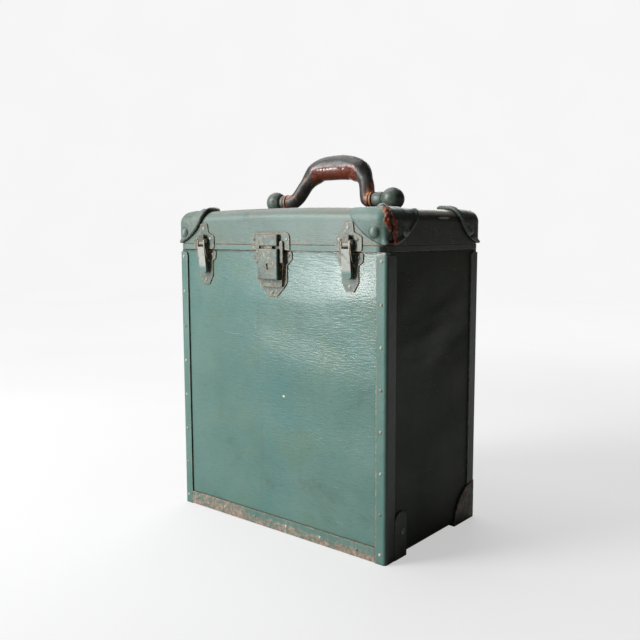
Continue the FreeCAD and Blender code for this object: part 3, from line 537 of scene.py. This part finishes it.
# Corner caps of the lid: wet-formed leather with a thick rolled edge, each held by three large dome rivets.
# Painted over with the lid; the one at the front right has split down its corner and shows red-brown hide.
def worked_copy(name, node, grain):
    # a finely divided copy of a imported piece, ready to be shaped further
    draft = bmesh.new()
    draft.from_mesh(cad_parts[node].data)
    bmesh.ops.remove_doubles(draft, verts=draft.verts, dist=1e-5)
    plain = bpy.data.meshes.new(name)
    draft.to_mesh(plain)
    draft.free()
    piece = bpy.data.objects.new(name, plain)
    bpy.context.scene.collection.objects.link(piece)
    even = piece.modifiers.new("even", "REMESH")
    even.mode = "VOXEL"
    even.voxel_size = grain
    even.use_smooth_shade = True
    seen = piece.evaluated_get(bpy.context.evaluated_depsgraph_get())
    piece.data = bpy.data.meshes.new_from_object(seen)
    piece.modifiers.clear()
    return piece


def keep_share(piece, name, shares):
    layer = piece.data.attributes.new(name, "FLOAT", "POINT")
    layer.data.foreach_set("value", shares)


def soft_step(value, low, high):
    share = min(1.0, max(0.0, (value - low) / (high - low)))
    return share * share * (3 - 2 * share)


lid_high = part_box("lid_shell")[1]
lid_round = 0.013
lid_crown = 0.0035
crown_radius = (lid_high.x ** 2 + lid_crown ** 2) / (2 * lid_crown)
cap_ball = 0.065
cap_centre = Vector((0.1575, 0.0925, 0.369))
cap_leather = 0.0018
cap_grain = 0.0009
skin_from = 0.0004
skin_full = 0.0013
rivet_up = 0.319
rivet_front_in = 0.0147
rivet_side_in = 0.027
rivet_head = 0.0054
rivet_clear = 0.0072
rivet_foot = 0.0068
bead_in = 0.0022
bead_half = 0.0021
hump_from = 0.328
hump_full = 0.343
hump_more = 0.7
thin_in = 0.026
thin_roll = 0.001
thin_deep = 0.0014
thin_smooth = 0.85
side_facing = 0.3, 0.8
coarse_lump = 0.0006
fine_lump = 0.0002
split_turn = 62.0
split_sway = 7.0
split_twitch = 4.0
split_inner = 0.004
split_rag = 0.003
split_half = 0.0009
split_more = 0.0018
split_opens = 0.324, 0.306
split_soft = 0.0005, 0.0004
split_curl = 0.0011
split_below = 0.0006
hide_front_high = 0.0062
hide_front_rises = 0.314, 0.325
hide_front_low = 0.0045
hide_front_drops = 0.312, 0.307
hide_side_least = 0.001
hide_side_more = 0.0068
hide_side_drops = 0.337, 0.327
hide_soft = 0.0014, 0.0002


def cap_outward(point):
    # the direction away from the lid's rounded form, and the height above it
    top = lid_high.z - (point.x ** 2 + point.y ** 2) / (2 * crown_radius)
    inner = Vector((
        max(lid_round - lid_high.x, min(lid_high.x - lid_round, point.x)),
        max(lid_round - lid_high.y, min(lid_high.y - lid_round, point.y)),
        min(top - lid_round, point.z),
    ))
    away = point - inner
    return away.normalized(), away.length - lid_round


def split_at(point, side, end):
    # how far the leather has parted at a point near the split, and how far its hide is bare
    across = point.x * side - (lid_high.x - lid_round)
    ahead = point.y * end - (lid_high.y - lid_round)
    reach = math.hypot(across, ahead)
    if reach <= split_inner or across <= 0 or ahead <= 0:
        return 0.0, 0.0
    wander = split_sway * noise.noise(Vector((point.z * 110.0, 4.0, 1.0)))
    wander += split_twitch * noise.noise(Vector((point.z * 420.0, 1.0, 7.0)))
    off = math.radians(math.degrees(math.atan2(across, ahead)) - split_turn - wander) * reach
    rag = split_rag * noise.noise(Vector((off * 120.0, point.z * 130.0, 2.0)))
    half = split_half + split_more * soft_step(point.z, *split_opens)
    gap = soft_step(abs(off) + 0.3 * rag, half + split_soft[0], half - split_soft[1])
    if off < 0:
        wide = hide_front_high * soft_step(point.z, *hide_front_rises)
        wide += hide_front_low * soft_step(point.z, *hide_front_drops)
    else:
        wide = hide_side_least + hide_side_more * soft_step(point.z, *hide_side_drops)
    return gap, soft_step(abs(off) + rag, wide + hide_soft[0], wide - hide_soft[1])


def rolled_cap(name, side, end, roll_front, roll_side, split):
    piece = worked_copy(name + "_leather", name, cap_grain)
    centre = Vector((side * cap_centre.x, end * cap_centre.y, cap_centre.z))
    rivets = (Vector((side * (lid_high.x - rivet_front_in), end * lid_high.y, rivet_up)),
              Vector((side * lid_high.x, end * (lid_high.y - rivet_side_in), rivet_up)))
    raw = []
    crack = []
    foot = []
    for v in piece.data.vertices:
        away, height = cap_outward(v.co)
        outer = soft_step(height, skin_from, skin_full)
        inside = cap_ball - (v.co - centre).length
        from_rivet = min((v.co - r).length for r in rivets)
        clear = soft_step(from_rivet, rivet_head, rivet_clear)
        roll = roll_front + (roll_side - roll_front) * soft_step(abs(away.x), *side_facing)
        hump = 1.0 + hump_more * soft_step(v.co.z, hump_from, hump_full)
        bead = roll * hump * math.exp(-((inside - bead_in) / bead_half) ** 2) * clear
        thinned = soft_step(inside, thin_in, 0.0) * soft_step(roll, thin_roll, 0.0) * clear
        bead -= thin_deep * thinned
        lump = coarse_lump * noise.noise(v.co * 70.0) + fine_lump * noise.noise(v.co * 260.0)
        lump *= (1 - thin_smooth * thinned) * clear
        gap, lip = split_at(v.co, side, end) if split else (0.0, 0.0)
        bead += split_curl * lip * (0.6 + noise.noise(v.co * 380.0)) - gap * (cap_leather + split_below)
        v.co += away * outer * (bead + lump)
        raw.append(lip * outer)
        crack.append(gap * outer)
        # the foot share marks a ring of painted shade round each rivet
        foot.append(soft_step(from_rivet, rivet_foot, rivet_head) * outer)
    keep_share(piece, "raw", raw)
    keep_share(piece, "crack", crack)
    keep_share(piece, "foot", foot)
    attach(piece, "lid")
    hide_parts(name)
    return piece


def cap_paint(name, rub, tones):
    red_hide = (0.36, (0.12, 0.026, 0.012)), (0.5, (0.34, 0.08, 0.032)), (0.64, (0.55, 0.2, 0.09))
    crack_shadow = (0.012, 0.008, 0.006)
    foot_shade = (0.02, 0.022, 0.018)
    tip_patch = (-0.145, -0.089, 0.305), (0.008, 0.008, 0.006)
    f, colour, rough = painted_leather(name, 0.74, 240.0, rub, tones)
    hide_grain = f.cloud(420.0, 5.0, 0.7)
    # faces towards the ends darkened: dirt with painted shade
    colour = f.over(colour, side_soil_and_shade, f.times(f.facing("X", 0.55, 0.9), 0.85))
    flake = f.times(f.kept("raw"), f.rise(f.cloud(240.0, 4.0, 0.6, shift=(2, 2, 6)), 0.34, 0.42))
    tip = f.times(f.near(*tip_patch), f.rise(hide_grain, 0.4, 0.5))
    colour = f.over(colour, f.shades(hide_grain, *red_hide), f.most(flake, f.times(tip, 0.7)))
    # painted shadow: near-black down the split
    colour = f.over(colour, crack_shadow, f.kept("crack"))
    # painted shade: a dark ring round each rivet
    colour = f.over(colour, foot_shade, f.times(f.kept("foot"), 0.85))
    return f.done(colour, rough, 0.4)


for name, side, end, roll_front, roll_side, split, rub, tones in (
        ("front_left_cap", -1, -1, 0.0019, 0.0016, False, 1.0, leather_tones),
        ("front_right_cap", 1, -1, 0.0, 0.0013, True, 0.1, lid_tones),
        ("back_left_cap", -1, 1, 0.0016, 0.0016, False, 1.0, leather_tones),
        ("back_right_cap", 1, 1, 0.0016, 0.0023, False, 1.0, leather_tones)):
    piece = rolled_cap(name, side, end, roll_front, roll_side, split)
    piece.data.materials.clear()
    piece.data.materials.append(cap_paint(piece.name + "_paint", rub, tones))
dress(painted_stud("cap_stud", 0.6), "cap_rivets")


# Handle posts: turned balls with a barrel neck and a groove between, screwed through the lid.
# They are painted with the lid, and their tops are rubbed grey-brown.
handle_high = 0.3532
post_ball = 0.0122
post_ball_x = {-1: 0.0785, 1: 0.0865}
post_neck = 0.0078
post_neck_x = 0.0624
post_neck_ends = 0.0008
post_barrel = 0.0012
post_groove = 0.0056
post_groove_in = 0.0095
post_groove_wide = 0.0006
post_pin = 0.003
post_dents = 0.0003
neck_cuts = 8
ball_cuts = 16
post_sides = 48


def turned_post(side):
    node = ("left" if side < 0 else "right") + "_handle_post"
    low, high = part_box(node)
    axis_y = ((low + high) / 2).y
    ball_x = post_ball_x[side]
    pin_x = min(abs(low.x), abs(high.x))
    neck_low = post_neck - post_neck_ends
    neck_long = ball_x - post_groove_in - post_neck_x
    profile = [(pin_x, 0.0), (pin_x, post_pin), (post_neck_x, post_pin), (post_neck_x, neck_low)]
    for k in range(1, neck_cuts):
        share = k / neck_cuts
        profile.append((post_neck_x + neck_long * share, neck_low + post_barrel * math.sin(math.pi * share)))
    profile.append((post_neck_x + neck_long, post_groove))
    start = math.acos((post_neck_x + neck_long + post_groove_wide - ball_x) / post_ball)
    for k in range(ball_cuts + 1):
        turn = start * (1 - k / ball_cuts)
        profile.append((ball_x + post_ball * math.cos(turn), post_ball * math.sin(turn)))
    lathe = bmesh.new()
    ring = [lathe.verts.new((side * x, axis_y, handle_high + r)) for x, r in profile]
    line = [lathe.edges.new(pair) for pair in zip(ring, ring[1:])]
    bmesh.ops.spin(lathe, geom=ring + line, cent=(0, axis_y, handle_high), axis=(1, 0, 0), angle=2 * math.pi,
                   steps=post_sides, use_merge=True)
    bmesh.ops.remove_doubles(lathe, verts=lathe.verts, dist=1e-6)
    for v in lathe.verts:
        outward = v.co - Vector((v.co.x, axis_y, handle_high))
        v.co += post_dents * noise.noise(v.co * 150.0) * outward / post_ball
    bmesh.ops.recalc_face_normals(lathe, faces=lathe.faces)
    for face in lathe.faces:
        face.smooth = True
    mesh = bpy.data.meshes.new(node + "_turned")
    lathe.to_mesh(mesh)
    lathe.free()
    piece = bpy.data.objects.new(node + "_turned", mesh)
    bpy.context.scene.collection.objects.link(piece)
    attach(piece, "lid")
    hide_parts(node)
    return piece


post_rubbed = (0.1, 0.1, 0.09)
f, colour, rough = painted_metal("post_paint", 0.5, 0.5, 0.6, 0.12)
rubbed = f.times(f.facing("Z", 0.15, 0.65), f.rise(f.cloud(150.0, 5.0, 0.7), 0.3, 0.5))
colour = f.over(colour, post_rubbed, f.times(rubbed, 0.75))
post_finish = f.done(colour, rough)
for side in (-1, 1):
    turned_post(side).data.materials.append(post_finish)


# Handle: leather rolled over a steel core, thick and flat-bottomed where the hand holds it.
# Dark on its back, rubbed to glossy red-brown hide under the fingers, raw orange at its feet.
handle_pivot = Vector((0, 0.0065, handle_high))
handle_lean = 23.0
leaning = Matrix.Rotation(math.radians(-handle_lean), 3, "X")
grip_end = 0.06
grip_bend = 0.056
grip_pulls = {-1: (0.02, 0.05), 1: (0.009, 0.056)}
grip_rise = 0.0424
grip_leg = 0.0082
grip_thick = 0.0128
grip_swell = 0.5, 0.76
grip_flat = 0.0265
grip_hold = -0.0275, 0.0365
grip_hold_soft = 0.003
grip_worn_top = 0.039
grip_worn_soft = 0.004
grip_worn_rag = 0.003
grip_raw = 0.0535, 0.057
grip_lump = 0.0005
grip_dent = 0.00025
grip_stations = 26
grip_sides = 36


def grip_arch(t, side):
    # place and heading on one half, as if on the right: t below 0 on the straight stub, 1 at the middle
    pull_low, pull_high = grip_pulls[side]
    if t < 0:
        return Vector((grip_bend - t * (grip_end - grip_bend), 0, 0)), Vector((-1, 0, 0))
    marks = [Vector((grip_bend, 0, 0)), Vector((grip_bend - pull_low, 0, 0)),
             Vector((pull_high, 0, grip_rise)), Vector((0, 0, grip_rise))]
    shares = (1 - t) ** 3, 3 * t * (1 - t) ** 2, 3 * t * t * (1 - t), t ** 3
    slopes = -3 * (1 - t) ** 2, 3 * (1 - t) * (1 - 3 * t), 3 * t * (2 - 3 * t), 3 * t * t
    place = sum((s * m for s, m in zip(shares, marks)), Vector())
    heading = sum((s * m for s, m in zip(slopes, marks)), Vector())
    return place, heading.normalized()


steps = [-1, -0.5] + [k / grip_stations for k in range(grip_stations + 1)]
stations = [(t, 1) for t in steps] + [(t, -1) for t in reversed(steps[:-1])]
roll = bmesh.new()
worn_layer = roll.verts.layers.float.new("worn")
raw_layer = roll.verts.layers.float.new("raw")
rims = [bmesh.ops.create_circle(roll, segments=grip_sides, radius=1.0)["verts"]]
while len(rims) < len(stations):
    edges = [e for e in roll.edges if e.verts[0] in rims[-1] and e.verts[1] in rims[-1]]
    grown = bmesh.ops.extrude_edge_only(roll, edges=edges)["geom"]
    fresh = {v for v in grown if isinstance(v, bmesh.types.BMVert)}
    rims.append([next(e.other_vert(v) for e in v.link_edges if e.other_vert(v) in fresh) for v in rims[-1]])
for (t, side), rim in zip(stations, rims):
    place, heading = grip_arch(t, side)
    thick = grip_leg + (grip_thick - grip_leg) * soft_step(t, *grip_swell)
    lift = Vector((-heading.z, 0, heading.x)) * -1
    for k, v in enumerate(rim):
        turn = 2 * math.pi * k / grip_sides
        point = place + lift * thick * math.cos(turn) + Vector((0, thick * math.sin(turn), 0))
        along = point.x * side
        held = soft_step(along, grip_hold[0] - grip_hold_soft, grip_hold[0] + grip_hold_soft)
        held *= soft_step(along, grip_hold[1] + grip_hold_soft, grip_hold[1] - grip_hold_soft)
        under = max(0.0, -math.cos(turn))
        if under and point.z > grip_flat:
            point.z += (place.z + (grip_flat - place.z) * under - point.z) * held
        point.x *= side
        lump = grip_lump * noise.noise(point * 55.0) + grip_dent * noise.noise(point * 170.0)
        point += (point - Vector((place.x * side, 0, place.z))).normalized() * lump
        ragged = point.z + grip_worn_rag * noise.noise(point * 80.0)
        v[worn_layer] = held * soft_step(ragged, grip_worn_top, grip_worn_top - grip_worn_soft)
        torn = soft_step(noise.noise(point * 150.0) + 0.4 * math.cos(turn), 0.0, 0.25)
        v[raw_layer] = soft_step(abs(point.x), *grip_raw) * torn
        v.co = leaning @ point + handle_pivot
bmesh.ops.holes_fill(roll, edges=[e for e in roll.edges if e.is_boundary], sides=grip_sides)
bmesh.ops.recalc_face_normals(roll, faces=roll.faces)
for face in roll.faces:
    face.smooth = True
grip_mesh = bpy.data.meshes.new("handle_grip_leather")
roll.to_mesh(grip_mesh)
roll.free()
grip = bpy.data.objects.new("handle_grip_leather", grip_mesh)
bpy.context.scene.collection.objects.link(grip)
rounded = grip.modifiers.new("rounded", "SUBSURF")
rounded.levels = 2
rounded.render_levels = 2
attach(grip, "handle")
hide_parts("handle_grip", "handle_core")

dark_leather = (0.3, (0.02, 0.017, 0.016)), (0.5, (0.04, 0.033, 0.03)), (0.72, (0.08, 0.066, 0.06))
green_left = (0.055, 0.09, 0.084)
streak_brown = (0.34, 0.13, 0.05)
held_hide = (0.3, (0.1, 0.015, 0.006)), (0.52, (0.16, 0.029, 0.011)), (0.7, (0.25, 0.055, 0.021))
raw_orange = (0.55, 0.19, 0.06)
washer_orange = (0.4, 0.14, 0.05)
f = Finish("grip_leather")
blotch = f.cloud(70.0, 5.0, 0.7, 0.5)
fine = f.cloud(320.0, 5.0, 0.7)
pores = f.cloud(900.0, 3.0, 0.6)
crackle = f.cells(330.0, "DISTANCE_TO_EDGE", stretch=(0.35, 1, 1))
colour = f.shades(blotch, *dark_leather)
green_rest = f.rise(f.cloud(42.0, 4.0, 0.6, shift=(4, 1, 1)), 0.5, 0.62)
colour = f.over(colour, green_left, f.times(green_rest, 0.3))
streak = f.rise(f.cloud(1.0, 3.0, 0.6, 0.4, stretch=(40, 210, 60), shift=(3, 3, 1)), 0.62, 0.7)
colour = f.over(colour, streak_brown, f.times(streak, 0.75))
worn = f.rise(f.kept("worn"), 0.05, 0.95)
colour = f.over(colour, f.shades(fine, *held_hide), worn)
colour = f.over(colour, raw_orange, f.times(f.kept("raw"), f.rise(fine, 0.36, 0.5)))
f.emboss(f.cloud(1.0, 3.0, 0.5, 0.4, stretch=(160, 46, 46)), 0.0014, 0.35)
f.emboss(f.rise(crackle, 0.08, 0.0), 0.00012, -0.3)
f.emboss(pores, 0.00005, 0.3)
rough = f.reckon("ADD", f.span(blotch, -0.06, 0.06), f.span(worn, 0.38, 0.2))
grip.data.materials.append(f.done(colour, rough))
f, colour, rough = painted_leather("washer_hide", 0.3, 300.0)
colour = f.over(colour, washer_orange, f.rise(f.cloud(260.0, 4.0, 0.7), 0.38, 0.52))
dress(f.done(colour, rough), "handle_washers")


# Studio: a plain white floor that runs up into a plain white wall, a tall soft window at the front left,
# light from above on the left, a weak fill behind, and the camera at the photograph's place.
def stage_white(name, white, bounce, plain_from, plain_to):
    f = Finish(name)
    path = f.put("LightPath")
    to_camera = path.outputs["Is Camera Ray"]
    seen = f.most(to_camera, f.most(path.outputs["Is Glossy Ray"], path.outputs["Is Transmission Ray"]))
    away = f.put("VectorMath", {"operation": "LENGTH"})
    f.feed(away.inputs[0], f.place)
    far = f.rise(away.outputs["Value"], plain_from, plain_to)
    pale = f.shades(f.cloud(3.0, 2.0, 0.5), (0.3, tuple(0.985 * s for s in white)), (0.7, white))
    lit = f.put("BsdfDiffuse", Color=f.over(bounce, pale, seen))
    plain = f.put("Emission", Color=pale)
    share = f.most(f.times(to_camera, f.span(far, 0.55, 0.97)), f.times(seen, f.times(far, 0.6)))
    both = f.put("MixShader", Fac=share)
    f.feed(both.inputs[1], lit.outputs[0])
    f.feed(both.inputs[2], plain.outputs[0])
    f.put("OutputMaterial", Surface=both.outputs[0])
    return f.material


view_turn = math.radians(39.6)
sweep_half = 4.0
sweep_back = 3.9
wall_high = 5.0
fold_round = 1.2
floor_white = (0.955, 0.955, 0.955)
floor_bounce = (0.26, 0.26, 0.25)
sweep = bmesh.new()
bmesh.ops.create_grid(sweep, x_segments=1, y_segments=1, size=sweep_half)
back_edge = [e for e in sweep.edges if all(v.co.y > sweep_back for v in e.verts)]
raised = bmesh.ops.extrude_edge_only(sweep, edges=back_edge)
for v in [g for g in raised["geom"] if isinstance(g, bmesh.types.BMVert)]:
    v.co.z += wall_high
for v in sweep.verts:
    v.co = Matrix.Rotation(view_turn, 3, "Z") @ v.co
fold = [e for e in sweep.edges if len(e.link_faces) == 2]
bmesh.ops.bevel(sweep, geom=fold, offset=fold_round, segments=16, profile=0.5, affect="EDGES", material=-1)
for face in sweep.faces:
    face.smooth = True
bmesh.ops.recalc_face_normals(sweep, faces=sweep.faces)
floor_mesh = bpy.data.meshes.new("floor")
sweep.to_mesh(floor_mesh)
sweep.free()
floor = bpy.data.objects.new("floor", floor_mesh)
bpy.context.scene.collection.objects.link(floor)
floor_mesh.materials.append(stage_white("floor_white", floor_white, floor_bounce, 0.5, 1.6))


def softbox(name, place, size, power):
    case_middle = Vector((0, 0, 0.2))
    lamp = bpy.data.lights.new(name, "AREA")
    lamp.shape = "RECTANGLE"
    lamp.size, lamp.size_y = size
    lamp.energy = power
    holder = bpy.data.objects.new(name, lamp)
    holder.location = place
    holder.rotation_euler = (case_middle - Vector(place)).to_track_quat("-Z", "Y").to_euler()
    bpy.context.scene.collection.objects.link(holder)


softbox("window", (-1.15, -1.55, 1.3), (1.0, 1.0), 40)
softbox("window_pane", (-1.36, -2.0, 0.36), (0.28, 0.4), 17)
softbox("sky", (-0.8, 0.05, 1.9), (1.5, 1.7), 17)
softbox("back_fill", (-1.0, 1.8, 1.2), (1.2, 1.2), 14)

room_warm = (1, 0.98, 0.94, 1)
room_strength = 0.055
room_seen = (0.93, 0.93, 0.93, 1)
world = bpy.data.worlds.new("room")
world.use_nodes = True
room = world.node_tree
room_light = room.nodes["Background"]
room_light.inputs["Color"].default_value = room_warm
room_light.inputs["Strength"].default_value = room_strength
room_white = room.nodes.new("ShaderNodeBackground")
room_white.inputs["Color"].default_value = room_seen
room_mix = room.nodes.new("ShaderNodeMixShader")
room_path = room.nodes.new("ShaderNodeLightPath")
room.links.new(room_path.outputs["Is Camera Ray"], room_mix.inputs[0])
room.links.new(room_light.outputs[0], room_mix.inputs[1])
room.links.new(room_white.outputs[0], room_mix.inputs[2])
room.links.new(room_mix.outputs[0], room.nodes["World Output"].inputs["Surface"])
bpy.context.scene.world = world

lens = bpy.data.cameras.new("camera")
lens.lens = 43.3
lens.sensor_width = 36.0
camera = bpy.data.objects.new("camera", lens)
camera.location = (0.5471, -0.6702, 0.3193)
camera.rotation_euler = Euler((math.radians(83.45), math.radians(0.16), view_turn), "XYZ")
bpy.context.scene.collection.objects.link(camera)
bpy.context.scene.camera = camera
bpy.context.scene.view_settings.view_transform = "Standard"
